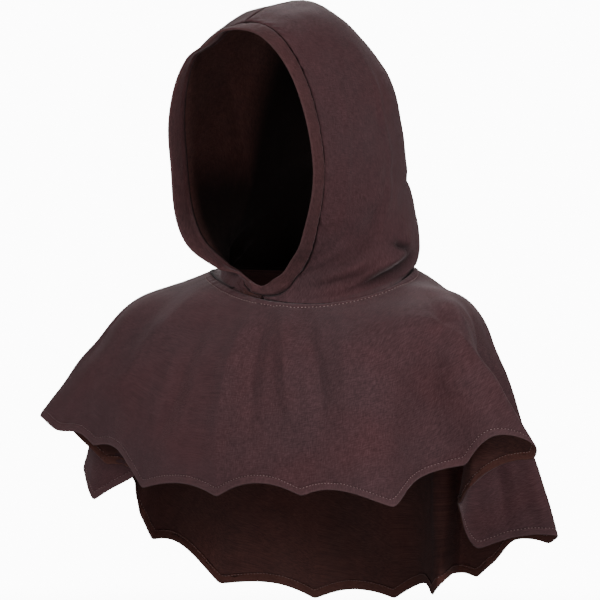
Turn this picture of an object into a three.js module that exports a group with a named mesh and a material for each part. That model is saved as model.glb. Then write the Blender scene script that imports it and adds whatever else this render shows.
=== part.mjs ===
// Medieval cloth hood with a dagged shoulder cape, kept in the form it has when worn.
// Millimetres, +Z up, the face opening looks along -Y and +X is the wearer's left.
// Everything is modelled with z = 0 at the front of the neck seam, and the finished group
// is lowered so that the inside of the crown, over the neck's centre, is the origin.
import * as THREE from 'three';

// Cloth and seams
const clothWall = 1.5;        // heavy cotton cloth
const bandWall = 3;           // folded casing round the face
const facingWall = 1.2;       // turned strip inside the hem
const seamGap = 0.45;         // clearance between pieces that are sewn together
const neckGap = 0.8;          // the same at the neck seam, whose two edges have different facets

// Hood
const hoodHeight = 335;       // neck seam in front to the top of the crown
const hoodHalfWidth = 108;    // half width over the temples
const hoodBack = 118;         // how far the back of the head lies behind the neck's centre
const throatRise = 18;        // height of the lowest point of the face opening
const openingBow = 16;        // how far the rim bows forward at cheek height
const cheekShift = 15;        // how far the lower opening is pulled to the wearer's right
const cheekFullness = 8;      // how much wider than an oval the lower opening is
const crownSway = 11;         // how far the crown leans to the wearer's right
const bandWidth = 20;         // face band, measured along the cloth
const bandTuck = 2.5;         // cloth left between the band and the neck seam at the throat
const bandLap = 14;           // overlap of the band's ends at the throat

// Neck seam, an oval that dips in front on the wearer's left
const neckHalfWidth = 124;
const neckHalfDepth = 92;
const neckFrontRise = 4;
const neckBackRise = 35;
const neckSideRise = 8.5;
const neckRoll = 5;
const neckTwist = 7.3;

// Cape
const shoulderHalfWidth = 264; // half width where the cloth turns down over the shoulders
const shoulderSet = 31;        // how far the shoulder points lie in front of the neck's centre
const chestDepth = 149;        // from the shoulder points forward to the turn over the chest
const backDepth = 183;         // from the shoulder points back to the turn over the back
const shoulderPinch = 1.4;     // 1 is an oval, more narrows it towards the shoulder points
const shoulderRise = 5;        // height of the turn over the shoulders
const chestDrop = 56;          // depth of the turn over the chest
const napeDrop = 32;           // depth of the turn over the back
const shoulderHold = 1.36;     // how much harder the cloth turns at the shoulders than in front
const capeHalfWidth = 309;     // reach of the hem to the side
const capeHalfDepth = 185;     // reach of the hem to the front
const capeDrop = 341;          // depth of the lowest part of the hem
const dagCount = 20;           // points round the hem
const dagRise = 15;            // how far the cloth is cut away between two points
const dagShift = 8;            // the point nearest the centre front lies this far to the left
const facingWidth = 11;
const facingInset = 1;         // hem edge to facing

// Mesh
const dagColumns = 7;
const capeRows = 9;
const panelColumns = 35;
const panelRows = 13;
const bandRows = 2;
const sweepSamples = 48;
const nudge = 1e-4;

// One row for each loop of the hood, from the face rim to the neck seam. Each loop stands on
// the throat: throat is its lowest point and up its highest, back is where the highest lies,
// bow is how much of the opening's own form it has, and dip how much of the neck seam's.
const hoodSections = [
  { name: 'face rim',      throat: 1,    back: -1.07, up: 0.916, width: 0.954, bow: 1,    sway: -1,    dip: 0 },
  { name: 'brow',          throat: 0.94, back: -0.76, up: 0.973, width: 0.972, bow: 0.75, sway: -0.91, dip: 0 },
  { name: 'forehead',      throat: 0.89, back: -0.38, up: 1,     width: 0.99,  bow: 0.5,  sway: -0.73, dip: 0 },
  { name: 'crown',         throat: 0.83, back: 0,     up: 0.988, width: 1,     bow: 0.25, sway: -0.45, dip: 0 },
  { name: 'back crown',    throat: 0.78, back: 0.305, up: 0.919, width: 1,     bow: 0.12, sway: 0,     dip: 0 },
  { name: 'high back',     throat: 0.72, back: 0.576, up: 0.821, width: 0.99,  bow: 0,    sway: 0.64,  dip: 0 },
  { name: 'back of head',  throat: 0.67, back: 0.763, up: 0.663, width: 0.954, bow: 0,    sway: 0.91,  dip: 0 },
  { name: 'dent',          throat: 0.61, back: 0.83,  up: 0.472, width: 0.981, bow: 0,    sway: 0.73,  dip: 0.1 },
  { name: 'low back',      throat: 0.55, back: 0.915, up: 0.364, width: 1.037, bow: 0,    sway: 0.45,  dip: 0.25 },
  { name: 'neck bulge',    throat: 0.44, back: 0.992, up: 0.224, width: 1.065, bow: 0,    sway: 0.18,  dip: 0.45 },
  { name: 'bulge foot',    throat: 0.33, back: 0.983, up: 0.149, width: 1.056, bow: 0,    sway: 0,     dip: 0.7 },
  { name: 'nape crease',   throat: 0.28, back: 0.89,  up: 0.119, width: 1.074, bow: 0,    sway: 0,     dip: 0.9 },
];

// One row for each turn of the hem, from the centre front round the wearer's left side:
// side and back as shares of the cape's half width and half depth, down of its drop.
const hemTurns = [
  { name: 'centre front',      side: 0,      back: -1.001, down: 0.624 },
  { name: 'left breast',       side: 0.368,  back: -0.939, down: 0.613 },
  { name: 'left chest',        side: 0.702,  back: -0.739, down: 0.646 },
  { name: 'left chest valley', side: 0.717,  back: -0.455, down: 0.594 },
  { name: 'left arm front',    side: 0.77,   back: -0.285, down: 0.543 },
  { name: 'arch',              side: 0.929,  back: -0.173, down: 0.453 },
  { name: 'left arm ridge',    side: 0.996,  back: 0.069,  down: 0.478 },
  { name: 'left arm tip',      side: 0.698,  back: 0.026,  down: 0.628 },
  { name: 'left arm valley',   side: 0.558,  back: 0.247,  down: 0.722 },
  { name: 'valley foot',       side: 0.523,  back: 0.469,  down: 0.809 },
  { name: 'left back ridge',   side: 0.733,  back: 0.847,  down: 0.794 },
  { name: 'ridge return',      side: 0.534,  back: 0.866,  down: 0.829 },
  { name: 'left back',         side: 0.438,  back: 0.858,  down: 0.898 },
  { name: 'small fold start',  side: 0.267,  back: 0.879,  down: 0.938 },
  { name: 'small fold',        side: 0.309,  back: 0.588,  down: 0.969 },
  { name: 'centre back',       side: 0.051,  back: 0.909,  down: 0.992 },
  { name: 'right of centre',   side: -0.197, back: 0.899,  down: 1.013 },
  { name: 'right back',        side: -0.414, back: 0.891,  down: 1.007 },
  { name: 'right back corner', side: -0.695, back: 0.616,  down: 0.966 },
  { name: 'right back edge',   side: -0.798, back: 0.354,  down: 0.865 },
  { name: 'right valley',      side: -0.789, back: -0.038, down: 0.758 },
  { name: 'valley rise',       side: -0.874, back: 0.034,  down: 0.622 },
  { name: 'right back ridge',  side: -1.015, back: -0.086, down: 0.59 },
  { name: 'flap tip',          side: -0.853, back: -0.355, down: 0.672 },
  { name: 'right arm valley',  side: -0.666, back: -0.312, down: 0.62 },
  { name: 'right arm ridge',   side: -0.916, back: -0.368, down: 0.505 },
  { name: 'right tip',         side: -0.975, back: -0.587, down: 0.393 },
  { name: 'right arm front',   side: -0.862, back: -0.732, down: 0.44 },
  { name: 'right chest',       side: -0.586, back: -0.801, down: 0.492 },
  { name: 'right breast',      side: -0.308, back: -0.97,  down: 0.611 },
];

const clothColour = 0x46302f;
const bandColour = 0x432d2d;
const facingColour = 0x3a2423;

const mix = THREE.MathUtils.lerp;
const facingTop = facingInset + facingWidth;
const loopColumns = 2 * panelColumns;
const hoodLoop = 2 * Math.PI * hoodHalfWidth;
const panelTrim = seamGap / 2 / hoodLoop;

// Height that the neck seam has over the tilted plane of its front and back points.
function neckDip(angle) {
  const side = Math.sin(angle);
  return neckSideRise * side * side - neckRoll * side - neckTwist * Math.sin(2 * angle);
}

// Loop parameter s runs from 0 at the throat over the wearer's left side (0.25) to the
// centre seam (0.5) and back down the right side.
function loopPoint(s, section) {
  const angle = 2 * Math.PI * s;
  const along = (1 - Math.cos(angle)) / 2;
  const side = Math.sin(angle);
  const low = Math.max(Math.cos(angle), 0);
  const fullness = 2 * side * low * low * section.fullness;
  const shift = 4 * side * side * low * low * section.shift;
  return new THREE.Vector3(
    section.halfWidth * side + section.sway * along + fullness - shift,
    mix(section.frontY, section.backY, along) - section.bow * side * side,
    mix(section.frontZ, section.backZ, along) + section.dip * neckDip(angle),
  );
}

const sections = hoodSections.map((row) => ({
  frontY: -neckHalfDepth,
  frontZ: row.throat * throatRise,
  backY: row.back * hoodBack,
  backZ: row.up * hoodHeight,
  halfWidth: row.width * hoodHalfWidth,
  bow: row.bow * openingBow,
  shift: row.bow * cheekShift,
  fullness: row.bow * cheekFullness,
  sway: row.sway * crownSway,
  dip: row.dip,
}));
const neckSection = {
  frontY: -neckHalfDepth,
  frontZ: neckFrontRise,
  backY: neckHalfDepth,
  backZ: neckBackRise,
  halfWidth: neckHalfWidth,
  bow: 0,
  shift: 0,
  fullness: 0,
  sway: 0,
  dip: 1,
};
sections.push(neckSection);

function catmullRom(before, from, to, after, share) {
  const slopeFrom = (to - before) / 2;
  const slopeTo = (after - from) / 2;
  const rise = to - from;
  return from + share * (slopeFrom + share * (3 * rise - 2 * slopeFrom - slopeTo
    + share * (slopeFrom + slopeTo - 2 * rise)));
}

// Section at u, from 0 at the face rim to 1 at the neck seam.
function sectionAt(u) {
  const last = sections.length - 1;
  const place = THREE.MathUtils.clamp(u, 0, 1) * last;
  const from = Math.min(Math.floor(place), last - 1);
  const rows = [-1, 0, 1, 2].map((step) => sections[THREE.MathUtils.clamp(from + step, 0, last)]);
  const section = {};
  for (const key of Object.keys(neckSection)) {
    const [before, a, b, after] = rows.map((row) => row[key]);
    section[key] = catmullRom(before, a, b, after, place - from);
  }
  return section;
}

function hoodPoint(s, u) {
  return loopPoint(s, sectionAt(u));
}

// Lengths along the cloth from the rim to each sample between the rim and the neck seam.
function sweepLengths(s) {
  const lengths = [0];
  let last = hoodPoint(s, 0);
  for (let i = 1; i <= sweepSamples; i += 1) {
    const next = hoodPoint(s, i / sweepSamples);
    lengths.push(lengths[i - 1] + next.distanceTo(last));
    last = next;
  }
  return lengths;
}

function uAtLength(lengths, length) {
  let i = 1;
  while (i < sweepSamples && lengths[i] < length) {
    i += 1;
  }
  return (i - 1 + (length - lengths[i - 1]) / (lengths[i] - lengths[i - 1])) / sweepSamples;
}

// The lesser of two lengths, with a soft change from one to the other.
function easedLeast(a, b) {
  return (a ** -2 + b ** -2) ** -0.5;
}

// Where the band, the panel and their seam lie on the line from rim to neck at s. The band's
// seam crosses that line at a slant near the throat, so its gap is wider there.
function seamsAt(s) {
  const lengths = sweepLengths(s);
  const whole = lengths[sweepSamples];
  const band = easedLeast(bandWidth, whole - bandTuck);
  const gap = seamGap * (1 + bandWidth / whole);
  return {
    bandEnd: uAtLength(lengths, band - gap / 2),
    panelStart: uAtLength(lengths, band + gap / 2),
    panelEnd: uAtLength(lengths, whole - seamGap / 2),
  };
}

const hemCurve = new THREE.CatmullRomCurve3(hemTurns.map((turn) => new THREE.Vector3(
  turn.side * capeHalfWidth,
  turn.back * capeHalfDepth,
  -turn.down * capeDrop,
)), true, 'centripetal');
hemCurve.arcLengthDivisions = 2000;

// Where the cloth turns down over chest, shoulders and back.
function shoulderPoint(s) {
  const angle = 2 * Math.PI * s;
  const front = Math.cos(angle);
  const side = Math.sin(angle);
  const reach = Math.abs(front) ** shoulderPinch;
  const drop = front > 0 ? chestDrop : napeDrop;
  return new THREE.Vector3(
    shoulderHalfWidth * side,
    -shoulderSet + (front > 0 ? -chestDepth : backDepth) * reach,
    mix(shoulderRise, -drop, front * front),
  );
}

// The cape's outer face: t is 0 at the neck seam and 1 at the points of the hem.
function capeColumn(s) {
  const neck = loopPoint(s, neckSection);
  const shoulder = shoulderPoint(s);
  const hem = hemCurve.getPointAt((s + 1 + dagShift / hemCurve.getLength()) % 1);
  const side = Math.sin(2 * Math.PI * s);
  const hold = 1 + shoulderHold * side * side;
  return { neck, shoulder, hem, hold, hemSpeed: 2 * hold * hem.distanceTo(shoulder) };
}

function capePoint(s, t) {
  const { neck, shoulder, hem, hold } = capeColumn(s);
  const a = (1 - t) * (1 - t);
  const b = 2 * t * (1 - t) * hold;
  const c = t * t;
  return new THREE.Vector3()
    .addScaledVector(neck, a / (a + b + c))
    .addScaledVector(shoulder, b / (a + b + c))
    .addScaledVector(hem, c / (a + b + c));
}

// The t at a distance inside the dagged edge, measured along the cloth near the hem.
function hemT(column, inset) {
  const s = columnS(column);
  const share = (column % dagColumns) / dagColumns;
  const cut = dagRise * 4 * share * (1 - share);
  return 1 - (cut + inset) / capeColumn(s).hemSpeed;
}

function columnS(column) {
  return column / dagColumns / dagCount;
}

// Unit normal that points out of the garment.
function outward(surface, s, u) {
  const ds = surface(s + nudge, u).sub(surface(s - nudge, u));
  const du = surface(s, Math.min(u + nudge, 1)).sub(surface(s, Math.max(u - nudge, 0)));
  return du.cross(ds).normalize();
}

// A wall between two depths under a surface. at(i, j) gives s, u and a lift off the surface.
function wall(surface, columns, rows, closed, at, near, far) {
  const skins = [near, far].map((depth) => {
    const points = [];
    for (let i = 0; i < (closed ? columns : columns + 1); i += 1) {
      for (let j = 0; j <= rows; j += 1) {
        const { s, u, lift = 0 } = at(i, j);
        const normal = outward(surface, s, u);
        points.push(surface(s, u).addScaledVector(normal, lift - depth));
      }
    }
    return points;
  });
  return shell(skins, columns, rows, closed);
}

// A closed shell between two grids of points.
function shell(skins, columns, rows, closed) {
  const count = closed ? columns : columns + 1;
  const perSkin = count * (rows + 1);
  const index = (skin, i, j) => skin * perSkin + (i % count) * (rows + 1) + j;
  const faces = [];
  const quad = (a, b, c, d) => faces.push(a, b, c, a, c, d);
  for (let i = 0; i < columns; i += 1) {
    for (let j = 0; j < rows; j += 1) {
      quad(index(0, i, j), index(0, i, j + 1), index(0, i + 1, j + 1), index(0, i + 1, j));
      quad(index(1, i, j), index(1, i + 1, j), index(1, i + 1, j + 1), index(1, i, j + 1));
    }
    quad(index(0, i, 0), index(0, i + 1, 0), index(1, i + 1, 0), index(1, i, 0));
    quad(index(0, i, rows), index(1, i, rows), index(1, i + 1, rows), index(0, i + 1, rows));
  }
  if (!closed) {
    for (let j = 0; j < rows; j += 1) {
      quad(index(0, 0, j), index(1, 0, j), index(1, 0, j + 1), index(0, 0, j + 1));
      quad(index(0, columns, j), index(0, columns, j + 1), index(1, columns, j + 1), index(1, columns, j));
    }
  }
  const geometry = new THREE.BufferGeometry();
  const values = skins.flat().flatMap((point) => point.toArray());
  geometry.setAttribute('position', new THREE.Float32BufferAttribute(values, 3));
  geometry.setIndex(faces);
  geometry.computeVertexNormals();
  return geometry;
}

function cloth(name, geometry, colour, roughness) {
  const mesh = new THREE.Mesh(geometry, new THREE.MeshStandardMaterial({
    color: colour,
    roughness,
    metalness: 0,
    side: THREE.DoubleSide,
  }));
  mesh.name = name;
  return mesh;
}

// Half of the hood, from s start to s end, seamGap clear of the band, the cape and the other half.
function hoodPanel(name, start, end) {
  const columns = loopColumns * (end - start);
  const geometry = wall(hoodPoint, columns, panelRows, false, (i, j) => {
    const s = THREE.MathUtils.clamp(start + i / loopColumns, start + panelTrim, end - panelTrim);
    const { panelStart, panelEnd } = seamsAt(s);
    return { s, u: mix(panelStart, panelEnd, j / panelRows) };
  }, 0, clothWall);
  return cloth(name, geometry, clothColour, 0.95);
}

// The casing round the face, whose wearer's-left end is lifted over the other one.
function faceBand() {
  const lap = bandLap / hoodLoop;
  const clear = bandWall + seamGap;
  const geometry = wall(hoodPoint, loopColumns + 1, bandRows, false, (i, j) => {
    const s = THREE.MathUtils.clamp((i - 1) / loopColumns, -lap, 1 - panelTrim);
    const lift = clear * THREE.MathUtils.smoothstep(-s, -lap, 0);
    return { s, u: mix(0, seamsAt(s).bandEnd, j / bandRows), lift };
  }, clothWall - bandWall, clothWall);
  return cloth('face_band', geometry, bandColour, 0.92);
}

function shoulderCape() {
  const geometry = wall(capePoint, dagCount * dagColumns, capeRows, true, (i, j) => {
    const s = columnS(i);
    const { neck, shoulder, hold } = capeColumn(s);
    const neckT = neckGap / (2 * hold * neck.distanceTo(shoulder));
    const u = j < capeRows ? mix(neckT, hemT(i, facingTop), j / (capeRows - 1)) : hemT(i, 0);
    return { s, u };
  }, 0, clothWall);
  return cloth('cape', geometry, clothColour, 0.95);
}

function hemFacing() {
  const near = clothWall + seamGap;
  const geometry = wall(capePoint, dagCount * dagColumns, 1, true, (i, j) => ({
    s: columnS(i),
    u: mix(hemT(i, facingTop), hemT(i, facingInset), j),
  }), near, near + facingWall);
  return cloth('hem_facing', geometry, facingColour, 0.9);
}

const garment = new THREE.Group();
garment.name = 'hood';
garment.add(hoodPanel('hood_left_panel', 0, 0.5));
garment.add(hoodPanel('hood_right_panel', 0.5, 1));
garment.add(faceBand());
garment.add(shoulderCape());
garment.add(hemFacing());

const crown = hoodSections.find((row) => row.name === 'crown');
const headSeatHeight = crown.up * hoodHeight - clothWall;
garment.position.z = -headSeatHeight;

export default garment;
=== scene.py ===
import math
from bisect import bisect_left
from functools import lru_cache

import bmesh
import bpy
from mathutils import Matrix, Vector, noise
from mathutils.bvhtree import BVHTree


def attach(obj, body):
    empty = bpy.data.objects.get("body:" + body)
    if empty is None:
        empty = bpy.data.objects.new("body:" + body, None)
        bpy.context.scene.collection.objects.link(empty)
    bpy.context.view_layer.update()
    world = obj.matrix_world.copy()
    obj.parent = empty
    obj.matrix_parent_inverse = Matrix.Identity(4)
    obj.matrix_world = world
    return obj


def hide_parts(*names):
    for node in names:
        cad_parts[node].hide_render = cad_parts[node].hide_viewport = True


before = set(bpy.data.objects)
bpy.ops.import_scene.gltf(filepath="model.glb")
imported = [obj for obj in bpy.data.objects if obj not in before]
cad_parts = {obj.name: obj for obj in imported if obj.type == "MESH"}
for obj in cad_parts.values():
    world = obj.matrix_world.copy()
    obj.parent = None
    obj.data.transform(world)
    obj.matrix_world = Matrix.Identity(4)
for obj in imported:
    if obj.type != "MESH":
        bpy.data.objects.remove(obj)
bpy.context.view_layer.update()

print("stage: frame loaded")

# Sizes are in metres. +X is the wearer's left, the face opening looks along -Y, and the origin is
# the inside of the crown. The forms are those of the solids: one table for the hood, one for the hem.
cloth = {"wall": 0.0015, "seam": 0.0003}
hood = {
    "height": 0.335,        # neck seam in front to the top of the crown
    "halfWidth": 0.108,
    "back": 0.118,
    "throatRise": 0.018,
    "openingBow": 0.016,    # how far the rim bows forward at cheek height
    "cheekShift": 0.015,    # how far the lower opening is pulled to the wearer's right
    "cheekFullness": 0.008,
    "crownSway": 0.011,     # lean of the crown to the wearer's right
}
neck = {
    "halfWidth": 0.124,
    "halfDepth": 0.092,
    "frontRise": 0.004,
    "backRise": 0.035,
    "sideRise": 0.0085,
    "roll": 0.005,
    "twist": 0.0073,
}
shoulder = {
    "halfWidth": 0.264,
    "set": 0.031,
    "chestDepth": 0.149,
    "backDepth": 0.183,
    "pinch": 1.4,
    "rise": 0.005,
    "chestDrop": 0.056,
    "napeDrop": 0.032,
    "hold": 1.36,           # how much harder the cloth turns at the shoulders than in front
}
hem = {
    "halfWidth": 0.309,
    "halfDepth": 0.185,
    "drop": 0.341,
    "dags": 20,
    "dagRise": 0.015,
    "dagRound": 0.1,        # 0 leaves the points sharp
    "dagShift": 0.008,
    "facingWidth": 0.011,
    "facingInset": 0.001,
}

# One row for each loop of the hood, face rim to neck: throat, back, up, width, bow, sway, dip.
hoodRows = [
    (1, -1.07, 0.916, 0.954, 1, -1, 0),            # face rim
    (0.94, -0.76, 0.973, 0.972, 0.75, -0.91, 0),   # brow
    (0.89, -0.38, 1, 0.99, 0.5, -0.73, 0),         # forehead
    (0.83, 0, 0.988, 1, 0.25, -0.45, 0),           # crown
    (0.78, 0.305, 0.919, 1, 0.12, 0, 0),           # back crown
    (0.72, 0.576, 0.821, 0.99, 0, 0.64, 0),        # high back
    (0.67, 0.763, 0.663, 0.954, 0, 0.91, 0),       # back of the head
    (0.61, 0.83, 0.472, 0.981, 0, 0.73, 0.1),      # dent
    (0.55, 0.915, 0.364, 1.037, 0, 0.45, 0.25),    # low back
    (0.44, 0.992, 0.224, 1.065, 0, 0.18, 0.45),    # neck bulge
    (0.33, 0.983, 0.149, 1.056, 0, 0, 0.7),        # bulge foot
    (0.28, 0.89, 0.119, 1.074, 0, 0, 0.9),         # nape crease
]

# One row for each turn of the hem, from the centre front round the wearer's left: side, back, down.
hemRows = [
    (0, -1.001, 0.624),         # centre front
    (0.368, -0.939, 0.613),     # left breast
    (0.702, -0.739, 0.646),     # left chest
    (0.717, -0.455, 0.594),     # left chest valley
    (0.77, -0.285, 0.543),      # left arm front
    (0.929, -0.173, 0.453),     # arch
    (0.996, 0.069, 0.478),      # left arm ridge
    (0.698, 0.026, 0.628),      # left arm tip
    (0.558, 0.247, 0.722),      # left arm valley
    (0.523, 0.469, 0.809),      # valley foot
    (0.733, 0.847, 0.794),      # left back ridge
    (0.534, 0.866, 0.829),      # ridge return
    (0.438, 0.858, 0.898),      # left back
    (0.267, 0.879, 0.938),      # small fold start
    (0.309, 0.588, 0.969),      # small fold
    (0.051, 0.909, 0.992),      # centre back
    (-0.197, 0.899, 1.013),     # right of centre
    (-0.414, 0.891, 1.007),     # right back
    (-0.695, 0.616, 0.966),     # right back corner
    (-0.798, 0.354, 0.865),     # right back edge
    (-0.789, -0.038, 0.758),    # right valley
    (-0.874, 0.034, 0.622),     # valley rise
    (-1.015, -0.086, 0.59),     # right back ridge
    (-0.853, -0.355, 0.672),    # flap tip
    (-0.666, -0.312, 0.62),     # right arm valley
    (-0.916, -0.368, 0.505),    # right arm ridge
    (-0.975, -0.587, 0.393),    # right tip
    (-0.862, -0.732, 0.44),     # right arm front
    (-0.586, -0.801, 0.492),    # right chest
    (-0.308, -0.97, 0.611),     # right breast
]
seat = hoodRows[3][2] * hood["height"] - cloth["wall"]


def mix(a, b, share):
    return a + (b - a) * share


def clamp(x, low=0.0, high=1.0):
    return max(low, min(high, x))


def ease(x, low, high):
    x = clamp((x - low) / (high - low))
    return x * x * (3 - 2 * x)


def bell(x, width):
    return 0.5 + 0.5 * math.cos(math.pi * clamp(x / width, -1, 1))


def hoodSection(row):
    throat, back, up, width, bow, sway, dip = row
    return (
        -neck["halfDepth"], throat * hood["throatRise"], back * hood["back"], up * hood["height"],
        width * hood["halfWidth"], bow * hood["openingBow"], bow * hood["cheekShift"],
        bow * hood["cheekFullness"], sway * hood["crownSway"], dip,
    )


neckSection = (-neck["halfDepth"], neck["frontRise"], neck["halfDepth"], neck["backRise"],
               neck["halfWidth"], 0, 0, 0, 0, 1)
hoodSections = [hoodSection(row) for row in hoodRows] + [neckSection]


def neckDip(angle):
    side = math.sin(angle)
    return neck["sideRise"] * side * side - neck["roll"] * side - neck["twist"] * math.sin(2 * angle)


# s runs from 0 at the throat over the wearer's left side to 0.5 at the centre seam and on to 1.
def loopPoint(s, section):
    frontY, frontZ, backY, backZ, halfWidth, bow, shift, fullness, sway, dip = section
    angle = 2 * math.pi * s
    along = (1 - math.cos(angle)) / 2
    side = math.sin(angle)
    low = max(math.cos(angle), 0) ** 2
    x = halfWidth * side + sway * along + 2 * side * low * fullness - 4 * side * side * low * shift
    y = mix(frontY, backY, along) - bow * side * side
    z = mix(frontZ, backZ, along) + dip * neckDip(angle)
    return Vector((x, y, z - seat))


def catmullRom(before, start, end, after, share):
    slopeStart = (end - before) / 2
    slopeEnd = (after - start) / 2
    rise = end - start
    bend = 3 * rise - 2 * slopeStart - slopeEnd
    return start + share * (slopeStart + share * (bend + share * (slopeStart + slopeEnd - 2 * rise)))


def hoodPoint(s, u):
    last = len(hoodSections) - 1
    place = clamp(u) * last
    start = min(int(place), last - 1)
    rows = [hoodSections[int(clamp(start + step, 0, last))] for step in (-1, 0, 1, 2)]
    return loopPoint(s, [catmullRom(*values, place - start) for values in zip(*rows)])


sweepSamples = 48


@lru_cache(maxsize=None)
def sweepLengths(s):
    points = [hoodPoint(s, i / sweepSamples) for i in range(sweepSamples + 1)]
    lengths = [0.0]
    for first, second in zip(points, points[1:]):
        lengths.append(lengths[-1] + (second - first).length)
    return lengths


def uAtLength(s, length):
    lengths = sweepLengths(s)
    i = 1
    while i < sweepSamples and lengths[i] < length:
        i += 1
    return (i - 1 + (length - lengths[i - 1]) / (lengths[i] - lengths[i - 1])) / sweepSamples


hemPoints = [Vector((side * hem["halfWidth"], back * hem["halfDepth"], -down * hem["drop"] - seat))
             for side, back, down in hemRows]
hemSteps = 2000


# A point on the closed hem curve, whose spans are eased by the root of their lengths.
def hemAt(share):
    place = share * len(hemPoints)
    start = int(place)
    share = place - start
    before, first, second, after = (hemPoints[(start + step) % len(hemPoints)] for step in (-1, 0, 1, 2))
    stepBefore, step, stepAfter = (
        (b - a).length ** 0.5 for a, b in ((before, first), (first, second), (second, after))
    )
    slopeFirst = step * ((first - before) / stepBefore - (second - before) / (stepBefore + step)
                         + (second - first) / step)
    slopeSecond = step * ((second - first) / step - (after - first) / (step + stepAfter)
                          + (after - second) / stepAfter)
    bend = 3 * (second - first) - 2 * slopeFirst - slopeSecond
    turn = 2 * (first - second) + slopeFirst + slopeSecond
    return first + share * (slopeFirst + share * (bend + share * turn))


hemLengths = [0.0]
for i in range(hemSteps):
    hemLengths.append(hemLengths[-1] + (hemAt((i + 1) / hemSteps) - hemAt(i / hemSteps)).length)


def hemAtLength(length):
    length = length % hemLengths[-1]
    i = bisect_left(hemLengths, length, 1)
    part = (length - hemLengths[i - 1]) / (hemLengths[i] - hemLengths[i - 1])
    return hemAt((i - 1 + part) / hemSteps % 1)


@lru_cache(maxsize=None)
def capeColumn(s):
    angle = 2 * math.pi * s
    front = math.cos(angle)
    side = math.sin(angle)
    reach = abs(front) ** shoulder["pinch"]
    drop = shoulder["chestDrop"] if front > 0 else shoulder["napeDrop"]
    turn = Vector((
        shoulder["halfWidth"] * side,
        -shoulder["set"] + (-shoulder["chestDepth"] if front > 0 else shoulder["backDepth"]) * reach,
        mix(shoulder["rise"], -drop, front * front) - seat,
    ))
    edge = hemAtLength(s * hemLengths[-1] + hem["dagShift"])
    return loopPoint(s, neckSection), turn, edge, 1 + shoulder["hold"] * side * side


def capePoint(s, t):
    start, turn, edge, hold = capeColumn(s)
    a = (1 - t) ** 2
    b = 2 * t * (1 - t) * hold
    c = t * t
    return (start * a + turn * b + edge * c) / (a + b + c)


def neckSpeed(s):
    start, turn, edge, hold = capeColumn(s)
    return 2 * hold * (turn - start).length


def hemSpeed(s):
    start, turn, edge, hold = capeColumn(s)
    return 2 * hold * (edge - turn).length


# How far the cloth is cut back between two points of the hem.
def dagCut(s):
    share = s * hem["dags"] % 1
    arc = 4 * share * (1 - share)
    return hem["dagRise"] * ((arc * arc + hem["dagRound"] ** 2) ** 0.5 - hem["dagRound"])


# A sheet is a grid of rows (along u or t) and columns (round s), placed by a function of both.
# Each point keeps how far it lies along its row and its column, for seams, folds and the weave.
class Sheet:
    def __init__(self, name, rows, columns, place, joined=False):
        self.name = name
        self.bm = bmesh.new()
        self.uv = self.bm.loops.layers.uv.new("cloth")
        # edge: pale wear on edges and painted highlight on ridges; groove: painted shade at seams and in
        # creases; shade: painted shade deep inside the hood
        self.edge = self.bm.verts.layers.float.new("edge")
        self.groove = self.bm.verts.layers.float.new("groove")
        self.shade = self.bm.verts.layers.float.new("shade")
        bmesh.ops.create_grid(self.bm, x_segments=rows, y_segments=columns, size=0.5, calc_uvs=True)
        self.bm.verts.ensure_lookup_table()
        self.verts = list(self.bm.verts)
        self.rows = rows
        self.columns = columns
        self.data = []
        for vert in self.verts:
            vert.co, s, u = place(vert.co.x + 0.5, vert.co.y + 0.5)
            self.data.append([s, u, 0.0, 0.0])
        self.measure()
        if joined:
            wide = rows + 1
            pairs = {self.verts[columns * wide + i]: self.verts[i] for i in range(wide)}
            bmesh.ops.weld_verts(self.bm, targetmap=pairs)
            self.verts = self.verts[:columns * wide]
        self.bm.normal_update()

    # Lengths along the cloth: data[2] round its row, data[3] down its column.
    def measure(self):
        wide = self.rows + 1
        for j in range(self.columns + 1):
            for i in range(wide):
                n = j * wide + i
                if i:
                    step = (self.verts[n].co - self.verts[n - 1].co).length
                    self.data[n][3] = self.data[n - 1][3] + step
                if j:
                    step = (self.verts[n].co - self.verts[n - wide].co).length
                    self.data[n][2] = self.data[n - wide][2] + step
        for face in self.bm.faces:
            for loop in face.loops:
                values = self.data[loop.vert.index]
                loop[self.uv].uv = (values[2], values[3])

    def rowLength(self, n):
        return self.data[self.columns * (self.rows + 1) + n % (self.rows + 1)][2]

    def columnLength(self, n):
        return self.data[n // (self.rows + 1) * (self.rows + 1) + self.rows][3]

    # Moves each point along its normal and by a pull. lift(point, s, u, round, down, n) gives both,
    # then the paleness at edges (wear and painted highlight), the painted shade of seams and creases
    # and the painted shade deep inside the hood.
    def shape(self, lift):
        moves = []
        for n, vert in enumerate(self.verts):
            s, u, acrossRow, downColumn = self.data[n]
            amount, pull, edge, groove, shade = lift(vert.co, s, u, acrossRow, downColumn, n)
            vert[self.edge] = edge
            vert[self.groove] = groove
            vert[self.shade] = shade
            moves.append(vert.normal * amount + pull)
        for vert, move in zip(self.verts, moves):
            vert.co += move
        self.bm.normal_update()

    def tree(self):
        return BVHTree.FromBMesh(self.bm)

    def finish(self, thickness, materials, slot, replaced, inner=1):
        piece = pieceFrom(self.bm, self.name, materials, replaced)
        wall = piece.modifiers.new("wall", "SOLIDIFY")
        wall.thickness = thickness
        wall.offset = -1
        wall.use_even_offset = False
        wall.material_offset = inner
        wall.material_offset_rim = 0
        return piece


def pieceFrom(bm, name, materials, replaced=None):
    mesh = bpy.data.meshes.new(name)
    bm.to_mesh(mesh)
    bm.free()
    for material in materials:
        mesh.materials.append(material)
    mesh.shade_smooth()
    piece = bpy.data.objects.new(name, mesh)
    bpy.context.scene.collection.objects.link(piece)
    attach(piece, "root")
    if replaced:
        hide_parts(replaced)
    return piece
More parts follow.
